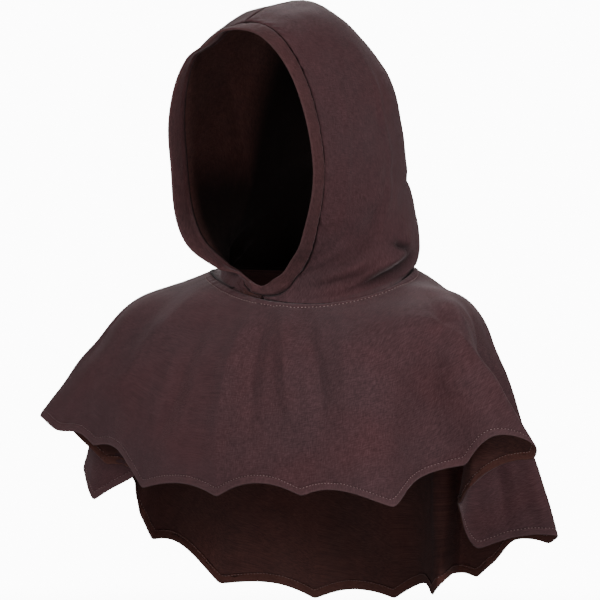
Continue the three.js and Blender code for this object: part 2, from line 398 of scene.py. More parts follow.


# Folds are lines on a surface: points (s, u), height in metres (below zero is a valley), half width
# and how much painted shade lies in the crease.
class Fold:
    def __init__(self, surface, points, height, width, dark=0.0, taper=0.35):
        self.points = [surface(s, u) for s, u in points]
        self.height = height
        self.width = width
        self.taper = taper
        self.dark = dark
        self.lengths = [0.0]
        for first, second in zip(self.points, self.points[1:]):
            self.lengths.append(self.lengths[-1] + (second - first).length)
        centre = sum(self.points, Vector()) / len(self.points)
        self.centre = centre
        self.reach = max((point - centre).length for point in self.points) + width

    # Height and painted crease shade at a point.
    def lift(self, point):
        if (point - self.centre).length > self.reach:
            return 0.0, 0.0
        best = None
        for i, (first, second) in enumerate(zip(self.points, self.points[1:])):
            span = second - first
            part = clamp((point - first).dot(span) / span.length_squared)
            away = (point - first - span * part).length
            if best is None or away < best[0]:
                best = (away, (self.lengths[i] + span.length * part) / self.lengths[-1])
        away, along = best
        if away >= self.width:
            return 0.0, 0.0
        fade = ease(along, 0, self.taper) * ease(1 - along, 0, self.taper) if self.taper else 1
        form = 0.4 * bell(away, self.width) + 0.6 * (1 - away / self.width) ** 2
        form *= 0.25 + 0.75 * fade
        return self.height * form, self.dark * form


def foldLift(point, folds, near):
    lifts = [fold.lift(point) for fold in folds]
    return near * sum(height for height, dark in lifts), near * sum(dark for height, dark in lifts)


# Node trees are written as expressions on these.
class Wire:
    def __init__(self, tree, socket):
        self.tree = tree
        self.socket = socket

    def join(self, operation, a, b):
        node = self.tree.nodes.new("ShaderNodeMath")
        node.operation = operation
        for slot, value in zip(node.inputs, (a, b)):
            if isinstance(value, Wire):
                self.tree.links.new(value.socket, slot)
            elif value is not None:
                slot.default_value = value
        return Wire(self.tree, node.outputs[0])

    def __add__(self, other):
        return self.join("ADD", self, other)

    def __radd__(self, other):
        return self.join("ADD", other, self)

    def __sub__(self, other):
        return self.join("SUBTRACT", self, other)

    def __rsub__(self, other):
        return self.join("SUBTRACT", other, self)

    def __mul__(self, other):
        return self.join("MULTIPLY", self, other)

    def __rmul__(self, other):
        return self.join("MULTIPLY", other, self)

    def __truediv__(self, other):
        return self.join("DIVIDE", self, other)

    def __mod__(self, other):
        return self.join("FLOORED_MODULO", self, other)

    def floor(self):
        return self.join("FLOOR", self, None)

    def over(self, other):
        return self.join("GREATER_THAN", self, other)


class Finish:
    def __init__(self, name):
        self.material = bpy.data.materials.new(name)
        self.material.use_nodes = True
        self.tree = self.material.node_tree
        self.shader = self.tree.nodes["Principled BSDF"]

    def node(self, kind, settings, inputs, output=0):
        node = self.tree.nodes.new(kind)
        for key, value in settings.items():
            if key == "stops":
                ramp = node.color_ramp
                while len(ramp.elements) < len(value):
                    ramp.elements.new(0.5)
                for element, (place, colour) in zip(ramp.elements, value):
                    element.position = place
                    element.color = colour
            else:
                setattr(node, key, value)
        for key, value in inputs.items():
            if isinstance(value, Wire):
                self.tree.links.new(value.socket, node.inputs[key])
            else:
                node.inputs[key].default_value = value
        return Wire(self.tree, node.outputs[output])

    def noise(self, place, scale, detail=3.0, roughness=0.55):
        return self.node("ShaderNodeTexNoise", {}, {
            "Vector": place, "Scale": scale, "Detail": detail, "Roughness": roughness,
        })

    def stretched(self, place, scales):
        return self.node("ShaderNodeVectorMath", {"operation": "MULTIPLY"}, {0: place, 1: scales})

    def blend(self, share, first, second):
        return self.node("ShaderNodeMix", {"data_type": "RGBA"}, {0: share, 6: first, 7: second}, 2)

    def feed(self, **links):
        for name, value in links.items():
            socket = self.shader.inputs[name.replace("_", " ")]
            if isinstance(value, Wire):
                self.tree.links.new(value.socket, socket)
            else:
                socket.default_value = value


def linear(red, green, blue):
    values = [c / 255 for c in (red, green, blue)]
    return [c / 12.92 if c <= 0.04045 else ((c + 0.055) / 1.055) ** 2.4 for c in values] + [1]


weave = {
    "pitch": 0.00085,       # one thread
    "depth": 0.00022,
    "slub": 0.007,          # length of a thick place in a thread
    "fuzz": 900.0,          # scales of the noises, from loose fibres to broad clouds of dye
    "mottle": 60.0,
    "cloud": 13.0,
    "dyeRed": linear(86, 44, 46),
    "dyeGrey": linear(66, 54, 58),
    "dye": 0.16,            # how strongly the dye varies
    # painted shade colours: at seams and in creases, and deep inside the hood
    "grooveShadeColour": linear(10, 5, 6),
    "deepShadeColour": linear(9, 4, 4),
}


# Plain-woven cotton: two sets of threads that pass over and under, thick places in them, slow
# colour changes of the dye, pale edges of wear and painted highlight, and painted shade at seams and in
# creases.
def wovenCloth(name, dark, mid, pale, wearAndHighlight, sheen=0.18, rough=0.86, paintedDeepShade=0.0):
    finish = Finish(name)
    uv = finish.node("ShaderNodeUVMap", {"uv_map": "cloth"}, {})
    place = finish.node("ShaderNodeTexCoord", {}, {}, 3)
    split = finish.node("ShaderNodeSeparateXYZ", {}, {"Vector": uv})
    u = split * (1 / weave["pitch"])
    v = Wire(finish.tree, split.socket.node.outputs[1]) * (1 / weave["pitch"])
    acrossU = (u % 1.0) * 2.0 - 1.0
    acrossV = (v % 1.0) * 2.0 - 1.0
    over = ((u.floor() + v.floor()) % 2.0).over(0.5)
    warp = 1.0 - acrossU * acrossU
    weft = 1.0 - acrossV * acrossV
    threads = over * warp * (0.6 + 0.4 * weft) + (1.0 - over) * weft * (0.6 + 0.4 * warp)
    fine = 1 / weave["pitch"] / 1.7
    slubU = finish.noise(finish.stretched(uv, (fine, 1 / weave["slub"], 1)), 1.0, 2.0)
    slubV = finish.noise(finish.stretched(uv, (1 / weave["slub"], fine, 1)), 1.0, 2.0)
    fuzz = finish.noise(place, weave["fuzz"], 2.0, 0.7)
    mottle = finish.noise(place, weave["mottle"], 4.0, 0.6)
    cloud = finish.noise(place, weave["cloud"], 2.0, 0.5)
    edge = finish.node("ShaderNodeAttribute", {"attribute_name": "edge"}, {}, 2)
    groove = finish.node("ShaderNodeAttribute", {"attribute_name": "groove"}, {}, 2)
    tone = (slubU + slubV - 1.0) * 0.85 + (mottle - 0.5) * 0.4 + (threads + fuzz - 1.0) * 0.4 + 0.5
    colour = finish.node("ShaderNodeValToRGB", {"stops": [(0.12, dark), (0.5, mid), (0.88, pale)]},
                         {"Fac": tone})
    tint = finish.node("ShaderNodeMapRange", {}, {"Value": cloud, 1: 0.35, 2: 0.65, 3: 0.0, 4: 1.0})
    dye = finish.blend(tint, weave["dyeRed"], weave["dyeGrey"])
    colour = finish.blend(weave["dye"], colour, dye)
    # pale edges: wear, and painted highlight on ridges and rolled edges
    colour = finish.blend(edge * (0.35 + slubU * 0.5), colour, wearAndHighlight)
    # painted shade at seams and in creases
    colour = finish.blend(groove * 0.9, colour, weave["grooveShadeColour"])
    # painted shade: the inner face is darkened deep inside the hood and low towards the neck
    if paintedDeepShade:                # the inner face is dark deep inside the hood
        shade = finish.node("ShaderNodeAttribute", {"attribute_name": "shade"}, {}, 2)
        colour = finish.blend(shade * paintedDeepShade, colour, weave["deepShadeColour"])
    height = threads * 0.55 + (slubU + slubV) * 0.5 + fuzz * 0.25
    bump = finish.node("ShaderNodeBump", {}, {
        "Strength": 0.75, "Distance": weave["depth"], "Height": height,
    })
    finish.feed(Base_Color=colour, Roughness=rough + (mottle - 0.5) * 0.16 - edge * 0.06, Normal=bump)
    finish.feed(Specular_IOR_Level=0.22, Sheen_Weight=sheen, Sheen_Roughness=0.45)
    finish.shader.inputs["Sheen Tint"].default_value = (0.75, 0.6, 0.62, 1)
    return finish.material


def threadFinish(name, dark, pale):
    finish = Finish(name)
    place = finish.node("ShaderNodeTexCoord", {}, {}, 3)
    twist = finish.noise(place, 1400.0, 2.0)
    colour = finish.blend(finish.noise(place, 60.0), dark, pale)
    bump = finish.node("ShaderNodeBump", {}, {"Strength": 0.5, "Distance": 0.0002, "Height": twist})
    finish.feed(Base_Color=colour, Roughness=0.55 + twist * 0.2, Normal=bump)
    finish.feed(Specular_IOR_Level=0.35, Sheen_Weight=0.1)
    return finish.material


# Each cloth has a dark, a middle and a pale tone of its thread and a pale colour for edges, of wear and
# painted highlight.
outerCloth = wovenCloth("outerCloth", linear(50, 30, 33), linear(70, 45, 48), linear(92, 62, 66),
                        linear(100, 72, 74))
# the last number is the strength of the painted shade deep inside the hood
innerCloth = wovenCloth("innerCloth", linear(56, 32, 29), linear(79, 49, 45), linear(103, 66, 60),
                        linear(106, 72, 66), 0.05, 0.9, 0.94)
bandCloth = wovenCloth("bandCloth", linear(48, 27, 28), linear(70, 42, 43), linear(90, 58, 60),
                       linear(98, 68, 69))
facingCloth = wovenCloth("facingCloth", linear(56, 30, 26), linear(82, 46, 40), linear(104, 64, 56),
                         linear(108, 72, 64), 0.05, 0.9)
seamThread = threadFinish("seamThread", linear(122, 92, 92), linear(176, 146, 142))
print("stage: finishes made")


# Slow unevenness of cloth that hangs: layers of amount, wave length and seed.
def unevenness(point, layers):
    return sum(amount * noise.noise(point / wave + Vector((seed, seed * 1.7, -seed)))
               for amount, wave, seed in layers)


# Small gathers beside a seam, at a distance from it: amount, wave length, reach and seed.
def puckers(acrossRow, away, amount, wave, reach, seed):
    wavy = noise.noise(Vector((acrossRow / wave, seed, away / reach * 0.6)))
    return amount * wavy * (1 - ease(away, 0, reach)) * ease(away, 0, 0.0025)


hoodFolds = [
    # points (s, u), height, half width, painted shade in the crease
    ([(0.38, 0.25), (0.34, 0.308), (0.31, 0.358), (0.287, 0.442), (0.242, 0.525), (0.22, 0.583)],
     0.0026, 0.011),                        # long ridge down the wearer's left side
    ([(0.355, 0.15), (0.292, 0.175), (0.235, 0.2), (0.182, 0.283), (0.142, 0.442)],
     0.0016, 0.009),                        # a fainter one beside the band
    ([(0.31, 0.5), (0.27, 0.47), (0.242, 0.408)], -0.0018, 0.014),
    ([(0.30, 0.57), (0.40, 0.585), (0.5, 0.583), (0.60, 0.57), (0.665, 0.55), (0.70, 0.53)],
     -0.0055, 0.016),                       # dent across the back of the head
    ([(0.315, 0.755), (0.285, 0.758), (0.25, 0.767), (0.213, 0.767), (0.18, 0.775), (0.15, 0.785)],
     -0.009, 0.0115, 1.0),                  # nape crease on the wearer's left
    ([(0.30, 0.70), (0.27, 0.705), (0.235, 0.718), (0.20, 0.728)], 0.0045, 0.012),
    ([(0.238, 0.65), (0.253, 0.683), (0.268, 0.708), (0.284, 0.74)], -0.006, 0.010, 0.9),  # pinch above it
    ([(0.19, 0.70), (0.168, 0.705), (0.135, 0.68), (0.10, 0.66), (0.06, 0.68)],
     -0.0045, 0.010, 0.4),                  # valleys that run to the throat
    ([(0.217, 0.492), (0.198, 0.55), (0.152, 0.558), (0.105, 0.542), (0.05, 0.56)], -0.005, 0.015, 0.3),
    ([(0.21, 0.60), (0.175, 0.635), (0.13, 0.61), (0.08, 0.60)], 0.0045, 0.014),
    ([(0.182, 0.35), (0.16, 0.392), (0.13, 0.383), (0.098, 0.31)], -0.0032, 0.016),
    ([(0.637, 0.175), (0.682, 0.275), (0.713, 0.375), (0.723, 0.5)], 0.0025, 0.02),
    ([(0.72, 0.70), (0.76, 0.73), (0.80, 0.755), (0.83, 0.79)],
     -0.007, 0.009, 0.7),                   # neck crease on the wearer's right
    ([(0.74, 0.66), (0.775, 0.685), (0.81, 0.715)], 0.003, 0.012),
    ([(0.79, 0.50), (0.82, 0.56), (0.86, 0.57), (0.90, 0.56), (0.95, 0.58)], -0.003, 0.018),
    ([(0.83, 0.69), (0.87, 0.69), (0.905, 0.67), (0.94, 0.69)], -0.0025, 0.013),
    ([(0.40, 0.80), (0.46, 0.79), (0.54, 0.80), (0.60, 0.79)],
     -0.004, 0.015),                        # low across the back
    ([(0.36, 0.72), (0.43, 0.70), (0.5, 0.715)], 0.003, 0.016),
    ([(0.5, 0.71), (0.57, 0.70), (0.63, 0.725)], 0.003, 0.016),
]
hoodFolds = [Fold(hoodPoint, *row) for row in hoodFolds]

# Pulls bend the rounded form as if by hand: the place (s, u), the move and how far it spreads.
hoodPulls = [
    ((0.75, 0.12), (0.0045, 0, 0), 0.12),                  # cheek on the wearer's right, flatter
    ((0.635, 0.12), (-0.0045, 0, 0.003), 0.045),           # brow, with its corners
    ((0.58, 0.04), (0.0065, 0, -0.0065), 0.036),
    ((0.545, 0.06), (0.001, 0, -0.0045), 0.045),
    ((0.5, 0.06), (0, 0, -0.005), 0.05),
    ((0.5, 0.15), (0, 0, -0.006), 0.05),
    ((0.42, 0.45), (-0.0014, -0.0014, 0), 0.11),           # back of the head on the wearer's left, narrower
    ((0.30, 0.42), (-0.0052, -0.004, 0), 0.075),
    ((0.32, 0.62), (-0.003, -0.0026, 0), 0.06),
    ((0.075, 0.02), (-0.001, 0, 0.0085), 0.045),           # rim at the throat, lifted to a V
    ((0.026, 0.0), (0, 0, 0.004), 0.02),
    ((0.962, 0.0), (0.001, 0, 0.0085), 0.034),
    ((0.925, 0.01), (0.002, 0, 0.004), 0.05),
]
capePulls = [
    ((0.845, 0.34), (-0.0036, -0.0026, 0.0078), 0.065),    # shoulders, squarer than the round form
    ((0.337, 0.32), (0.0028, 0.0022, 0.0044), 0.055),
    ((0.31, 0.07), (0, 0, -0.006), 0.05),                  # below the nape crease
    ((0.87, 0.99), (0, 0, -0.009), 0.05),                  # tip on the wearer's right
    ((0.57, 0.99), (0, 0, -0.0035), 0.24),                 # back hem
]
hoodPulls = [(hoodPoint(*place), Vector(move), reach) for place, move, reach in hoodPulls]
capePulls = [(capePoint(*place), Vector(move), reach) for place, move, reach in capePulls]


def pulled(point, pulls, toNeck):
    move = Vector()
    for centre, pull, reach in pulls:
        move += pull * bell((point - centre).length, reach)
    return move * ease(toNeck, 0, 0.012)


def capePlace(s, t):
    point = capePoint(s, t)
    return point + pulled(point, capePulls, t * neckSpeed(s))


panel = {
    "bandWidth": 0.02,
    "bandFar": 0.007,       # how much wider the casing is on the wearer's right
    "bandFarAt": 0.74,      # where round the rim it is widest
    "bandFarSpread": 0.2,
    "bandTuck": 0.0025,
    "rows": 130,
    "columns": 190,
    "ridge": 0.003,         # how far the centre seam stands up from the rounded form
    "ridgeReach": 0.03,
    "dive": 0.0032,         # how far the edges turn in at a seam
    "turnSteep": 0.0011,    # distances over which they turn in, most of it over the first
    "turnWide": 0.0034,
    "centreCross": 0.0005,  # how far turned-in edges run on past each other at the centre seam
    "neckCross": 0.001,     # and at the neck seam
    "crossReach": 0.0007,
    "uneven": [(0.0022, 0.075, 3.1), (0.0009, 0.028, 7.7), (0.00025, 0.009, 1.3)],
    "calm": 0.02,           # distance from a seam at which the unevenness is whole
    "centreGathers": (0.0009, 0.009, 0.012, 5.0),
    "bandGathers": (0.0022, 0.008, 0.014, 11.0),
    "neckGathers": (0.0008, 0.008, 0.012, 17.0),
    # painted shade: its width beside seams, and the depth and height over which the inner face is darkened
    "groove": 0.0018,       # how wide the dark of a seam is
    "shadeDeepFrom": 0.11,       # length of cloth inside the rim over which the inner face turns dark
    "shadeDeepTo": 0.16,
    "shadeLowFrom": 0.15,        # and height below the crown over which it does
    "shadeLowTo": 0.215,
}


# Rows crowd at both edges of a panel, where the cloth turns in to its seams.
def crowded(share, length, zones=((0.0028, 0.05), (0.012, 0.12))):
    (first, firstShare), (second, secondShare) = zones
    first = min(first, 0.12 * length)
    second = min(second, 0.3 * length)
    mirrored = share > 0.5
    share = min(share, 1 - share)
    if share <= firstShare:
        at = first * share / firstShare
    elif share <= secondShare:
        at = mix(first, second, (share - firstShare) / (secondShare - firstShare))
    else:
        at = mix(second, length / 2, (share - secondShare) / (0.5 - secondShare))
    return length - at if mirrored else at


def bandLength(s):
    whole = sweepLengths(s)[-1]
    width = panel["bandWidth"] + panel["bandFar"] * bell(s - panel["bandFarAt"], panel["bandFarSpread"])
    return (width ** -2 + (whole - panel["bandTuck"]) ** -2) ** -0.5


# How both edges of the neck seam turn in, and how far each then runs on past the other.
@lru_cache(maxsize=None)
def neckInward(s):
    downPanel = (hoodPoint(s, 1) - hoodPoint(s, 0.99)).normalized()
    outCape = (capePoint(s, 0.01) - capePoint(s, 0)).normalized()
    turned = (downPanel - outCape).normalized() * panel["dive"]
    return turned, downPanel * panel["neckCross"], outCape * -panel["neckCross"]


# Share of the crossing at a distance from the seam.
def crossed(away):
    return 1 - ease(away, 0, panel["crossReach"])


# Share of the depth of a seam allowance at a distance from the seam: steep at the edge.
def turnIn(away):
    return 0.6 * (1 - ease(away, 0, panel["turnSteep"])) + 0.4 * (1 - ease(away, 0, panel["turnWide"]))


def makePanel(name, start, end):
    def place(i, j):
        halfLoop = math.pi * hood["halfWidth"]
        s = start + crowded(j, halfLoop) / halfLoop * (end - start)
        whole = sweepLengths(s)[-1]
        low = bandLength(s) + cloth["seam"] / 2
        high = whole - cloth["seam"] / 2
        u = uAtLength(s, low + crowded(i, high - low))
        return hoodPoint(s, u), s, u

    sheet = Sheet(name, panel["rows"], panel["columns"], place)
    left = start == 0

    def lift(point, s, u, acrossRow, downColumn, n):
        toNeck = sheet.columnLength(n) - downColumn
        toFront = acrossRow if left else sheet.rowLength(n) - acrossRow
        toCentre = sheet.rowLength(n) - acrossRow if left else acrossRow
        amount, dark = foldLift(point, hoodFolds, ease(min(downColumn, toNeck), 0, 0.006))
        calm = ease(min(downColumn, toNeck, toFront), 0, panel["calm"])
        amount += calm * unevenness(point, panel["uneven"])
        amount += panel["ridge"] * (1 - ease(toCentre, 0, panel["ridgeReach"])) * ease(toNeck, 0, 0.03)
        along = point.x * 1.7 + point.y + point.z
        amount += puckers(along, toCentre, *panel["centreGathers"])
        amount += puckers(acrossRow, downColumn, *panel["bandGathers"])
        amount += puckers(acrossRow, toNeck, *panel["neckGathers"])
        centreDepth = turnIn(toCentre) * ease(toNeck, 0, 0.004)
        amount -= panel["dive"] * max(turnIn(min(downColumn, toFront)), centreDepth)
        inward, past, back = neckInward(s)
        pull = pulled(point, hoodPulls, toNeck) + inward * turnIn(toNeck) + past * crossed(toNeck)
        pull.x += (-panel["centreCross"] if left else panel["centreCross"]) * crossed(toCentre)
        near = min(downColumn, toNeck, toCentre, toFront)
        # pale line along the centre-seam ridge: wear and painted highlight
        edge = 0.35 * bell(toCentre - 0.003, 0.003)
        # painted shade: the inner face darkens deep inside the rim and low towards the neck
        low = ease(-point.z, panel["shadeLowFrom"], panel["shadeLowTo"]) * ease(downColumn, 0, 0.02)
        inside = max(ease(downColumn, panel["shadeDeepFrom"], panel["shadeDeepTo"]), 0.9 * low)
        # painted shade at the seams and in the creases
        return amount, pull, edge, max(1 - ease(near, 0, panel["groove"]), min(dark, 1)), inside

    sheet.shape(lift)
    return sheet


leftSheet = makePanel("hoodLeft", 0.0, 0.5)
rightSheet = makePanel("hoodRight", 0.5, 1.0)
leftPanel = leftSheet.finish(cloth["wall"], [outerCloth, innerCloth], "cloth", "hood_left_panel")
rightPanel = rightSheet.finish(cloth["wall"], [outerCloth, innerCloth], "cloth", "hood_right_panel")
print("stage: hood panels shaped")

# The face band is a casing folded over the rim, a flattened tube whose two ends lap at the throat.
band = {
    "lap": 0.014,
    "columns": 420,
    "turns": 28,
    "half": 0.0014,         # half its thickness at the seam
    "puff": 0.0006,         # and how much more it has at the rim
    "boxy": 0.55,           # the section of the tube: 1 is round, less is flatter
    "wave": 0.0011,
    "pucker": 0.0014,
    "puckerWave": 0.0065,
    "closing": 0.0016,      # length over which an end is sewn shut
    "lapLift": 0.0032,      # how far the wearer's-left end lies over the other one
}


def makeBand():
    around = 2 * math.pi * hood["halfWidth"]
    lap = band["lap"] / around
    end = 1 - cloth["seam"] / 2 / around

    def place(i, j):
        s = mix(-lap, end, j)
        turn = 2 * math.pi * i
        inward = (1 - math.cos(turn)) / 2
        height = math.copysign(abs(math.sin(turn)) ** band["boxy"], math.sin(turn))
        width = bandLength(s % 1) + cloth["seam"]
        toEnd = min(s + lap, end - s) * around
        close = 1 - (1 - clamp(toEnd / band["closing"])) ** 2
        half = (band["half"] + band["puff"] * (1 - inward)) * height * max(close, 0.02) ** 0.5
        u = uAtLength(s % 1, inward * width)
        point = hoodPoint(s, u)
        step = 1e-4
        out = (hoodPoint(s, min(u + step, 1)) - hoodPoint(s, max(u - step, 0))).cross(
            hoodPoint(s + step, u) - hoodPoint(s - step, u)).normalized()
        lift = band["lapLift"] * (1 - ease(s, -lap, 0)) if s < 0 else 0
        lift -= (panel["dive"] + cloth["wall"] / 2) * ease(inward, 0.86, 1)
        seamShare = ease(inward, 0.3, 1)
        wavy = band["wave"] * noise.noise(Vector((s * 16, 0.3, 2.0))) * (1 - 0.6 * seamShare)
        gathered = noise.noise(Vector((s * around / band["puckerWave"], 4.0, inward * 2)))
        sag = band["pucker"] * gathered * seamShare * (1 if height > 0 else 0.4)
        point += pulled(point, hoodPulls, sweepLengths(s % 1)[-1] - inward * width)
        return point + out * (half + lift + wavy * 0.8 * (1 - seamShare) + sag * abs(height)), s, i

    sheet = Sheet("faceBand", band["turns"], band["columns"], place)
    wide = band["turns"] + 1
    pairs = {sheet.verts[j * wide + band["turns"]]: sheet.verts[j * wide]
             for j in range(band["columns"] + 1)}
    for j in range(band["columns"] + 1):
        for i in range(wide):
            vert = sheet.verts[j * wide + i]
            inward = (1 - math.cos(2 * math.pi * i / band["turns"])) / 2
            # pale rim: wear and painted highlight; painted shade at its seam side
            vert[sheet.edge] = 0.55 * (1 - ease(inward, 0, 0.12))
            vert[sheet.groove] = ease(inward, 0.92, 0.99)
    bmesh.ops.weld_verts(sheet.bm, targetmap=pairs)
    bmesh.ops.holes_fill(sheet.bm, edges=sheet.bm.edges, sides=0)
    bmesh.ops.triangulate(sheet.bm, faces=[face for face in sheet.bm.faces if len(face.verts) > 4])
    bmesh.ops.recalc_face_normals(sheet.bm, faces=sheet.bm.faces)
    return sheet


bandSheet = makeBand()
pieceFrom(bandSheet.bm, "faceBand", [bandCloth], "face_band")
print("stage: face band shaped")

capeFolds = [
    # points (s, t), height, half width
    ([(0.012, 0.03), (0.02, 0.15), (0.023, 0.3), (0.022, 0.5), (0.023, 0.8)], -0.0065, 0.02),
    ([(0.998, 0.1), (0.0, 0.3), (0.0, 0.52), (0.998, 0.9)], 0.004, 0.022),
    ([(0.038, 0.03), (0.048, 0.2), (0.05, 0.4), (0.05, 0.73)], 0.006, 0.018),
    ([(0.067, 0.03), (0.073, 0.3), (0.075, 0.558), (0.07, 0.8)], -0.0055, 0.018),
    ([(0.227, 0.15), (0.195, 0.38), (0.168, 0.558), (0.15, 0.75), (0.138, 0.867), (0.128, 0.96)],
     -0.0125, 0.034),                       # valley in front of the wearer's left arm
    ([(0.173, 0.192), (0.15, 0.38), (0.133, 0.575), (0.115, 0.808), (0.102, 0.95)], 0.0055, 0.028),
    ([(0.26, 0.25), (0.275, 0.45), (0.25, 0.65), (0.187, 0.867), (0.177, 0.967)], 0.0065, 0.028),
    ([(0.311, 0.84), (0.313, 0.92), (0.316, 0.985)], -0.006, 0.017),
    ([(0.333, 0.82), (0.334, 0.92), (0.336, 0.985)], 0.004, 0.016),
    ([(0.118, 0.083), (0.1, 0.4), (0.093, 0.575), (0.082, 0.858)], 0.004, 0.02),
    ([(0.895, 0.067), (0.91, 0.283), (0.91, 0.65), (0.885, 0.942)], 0.0045, 0.035),
    ([(0.938, 0.092), (0.958, 0.392), (0.96, 0.65), (0.953, 0.9)], -0.004, 0.024),
    ([(0.84, 0.2), (0.85, 0.5), (0.855, 0.85)], -0.004, 0.028),
    ([(0.337, 0.2), (0.345, 0.45), (0.355, 0.667), (0.36, 0.9)], 0.004, 0.025),
    ([(0.42, 0.1), (0.43, 0.4), (0.44, 0.7), (0.445, 0.95)], -0.006, 0.03),
    ([(0.5, 0.08), (0.5, 0.4), (0.51, 0.75)], 0.005, 0.03),
    ([(0.58, 0.1), (0.57, 0.4), (0.565, 0.7), (0.56, 0.95)], -0.006, 0.03),
    ([(0.66, 0.15), (0.65, 0.5), (0.64, 0.8)], 0.005, 0.03),
]
capeFolds = [Fold(capePoint, *row) for row in capeFolds]

cape = {
    "columns": 660,
    "neckRows": 14,
    "middleRows": 34,
    "hemRows": 16,
    "neckZone": 0.0135,
    "hemZone": 0.0145,
    "neckStitch": 0.0085,   # from the neck seam down to its topstitch
    "hemStitch": 0.0095,    # from the hem's edge up to its own
    "uneven": [(0.0045, 0.11, 2.2), (0.0016, 0.045, 9.1), (0.0003, 0.011, 4.3)],
    "neckGathers": (0.001, 0.007, 0.02, 3.0),
    "neckRound": 0.75,      # length round the neck seam, for its gathers
    "allowance": 0.0007,    # how far the folded seam allowance lifts the cloth
    "hemTurn": 0.0004,      # and how far the turned hem does
    "stitchSink": 0.0006,
    "hemWave": 0.0009,
    "edgeRound": 0.0006,
}


def capeShare(s, row):
    top = cape["neckZone"] / neckSpeed(s)
    low = 1 - (dagCut(s) + cape["hemZone"]) / hemSpeed(s)
    if row <= cape["neckRows"]:
        return mix(cloth["seam"] / 2 / neckSpeed(s), top, (row / cape["neckRows"]) ** 1.5)
    row -= cape["neckRows"]
    if row <= cape["middleRows"]:
        return mix(top, low, row / cape["middleRows"])
    row -= cape["middleRows"]
    return mix(low, 1 - dagCut(s) / hemSpeed(s), row / cape["hemRows"])


def makeCape():
    rows = cape["neckRows"] + cape["middleRows"] + cape["hemRows"]

    def place(i, j):
        s = round(j * cape["columns"]) / cape["columns"] % 1
        t = capeShare(s, round(i * rows))
        return capePoint(s, t), j, t

    sheet = Sheet("shoulderCape", rows, cape["columns"], place, joined=True)

    def lift(point, s, t, acrossRow, downColumn, n):
        toEdge = (1 - t) * hemSpeed(s % 1) - dagCut(s % 1) if t > 0.5 else 1.0
        toNeck = t * neckSpeed(s % 1)
        amount, dark = foldLift(point, capeFolds, ease(toNeck, 0, 0.01))
        calm = ease(toNeck, 0, 0.03)
        amount += calm * unevenness(point, cape["uneven"])
        angle = 2 * math.pi * s
        ring = Vector((math.cos(angle), math.sin(angle), 0.0))
        amount += cape["allowance"] * ease(toNeck, 0.0006, 0.0024) * (1 - ease(toNeck, 0.0068, 0.0082))
        amount += puckers(s * cape["neckRound"], toNeck, *cape["neckGathers"])
        amount -= cape["stitchSink"] * bell(toNeck - cape["neckStitch"], 0.0013)
        inward, past, back = neckInward(s % 1)
        pull = pulled(point, capePulls, toNeck) + inward * turnIn(toNeck) + back * crossed(toNeck)
        raised = 1 - ease(toEdge, 0.0075, 0.0092)
        amount += cape["hemTurn"] * raised - cape["hemTurn"] * bell(toEdge - cape["hemStitch"], 0.0014)
        amount += cape["hemWave"] * noise.noise(ring * 17) * (1 - ease(toEdge, 0.0, 0.03))
        amount -= cape["edgeRound"] * (1 - ease(toEdge, 0, 0.0012))
        # pale hem edge and raised strips: wear and painted highlight
        edge = 0.8 * (1 - ease(toEdge, 0.0008, 0.003)) + 0.28 * (1 - ease(toEdge, 0.007, 0.0095))
        edge += 0.2 * ease(toNeck, 0.0006, 0.002) * (1 - ease(toNeck, 0.0068, 0.0085))
        # painted shade at the neck seam and along the stitch lines; dark from folds is painted crease shade
        groove = (1 - ease(toNeck, 0, 0.0014)) + 0.3 * bell(toNeck - cape["neckStitch"], 0.001)
        groove += 0.25 * bell(toEdge - cape["hemStitch"], 0.001)
        return amount, pull, min(edge, 1), min(groove + dark, 1), 0.0

    sheet.shape(lift)
    return sheet


capeSheet = makeCape()
capeTree = capeSheet.tree()
shoulderCape = capeSheet.finish(cloth["wall"], [outerCloth, innerCloth], "cloth", "cape")
print("stage: cape shaped")

facing = {
    "rows": 8,
    "wall": 0.0009,
    "gap": 0.0003,          # between it and the inside of the cape
    "ripple": 0.0009,
    "topRoll": 0.0003,      # its sewn upper edge stands up a little
}


# The turned strip inside the hem, sewn along its upper side.
def makeFacing():
    def place(i, j):
        s = round(j * cape["columns"]) / cape["columns"] % 1
        away = mix(hem["facingInset"] + hem["facingWidth"], hem["facingInset"], i)
        t = 1 - (dagCut(s) + away) / hemSpeed(s)
        point = capePlace(s, t)
        hit, normal, index, distance = capeTree.find_nearest(point, 0.03)
        return hit - normal * (cloth["wall"] + facing["gap"]), j, i

    sheet = Sheet("hemFacing", facing["rows"], cape["columns"], place, joined=True)

    def lift(point, s, i, acrossRow, downColumn, n):
        angle = 2 * math.pi * s
        ring = Vector((math.cos(angle), math.sin(angle), 0.0))
        amount = -facing["ripple"] * max(noise.noise(ring * 60), 0) * bell(i - 0.45, 0.5)
        amount += facing["topRoll"] * bell(i - 0.14, 0.1)
        # paler towards the hem fold (wear and painted highlight), painted shade along the sewn upper edge
        return amount, Vector(), 0.3 + 0.5 * ease(i, 0.75, 1), 0.5 * bell(i, 0.08), 0.0

    sheet.shape(lift)
    return sheet


facingSheet = makeFacing()
facingTree = facingSheet.tree()
hemFacing = facingSheet.finish(facing["wall"], [facingCloth, facingCloth], "facing", "hem_facing")
print("stage: hem facing shaped")


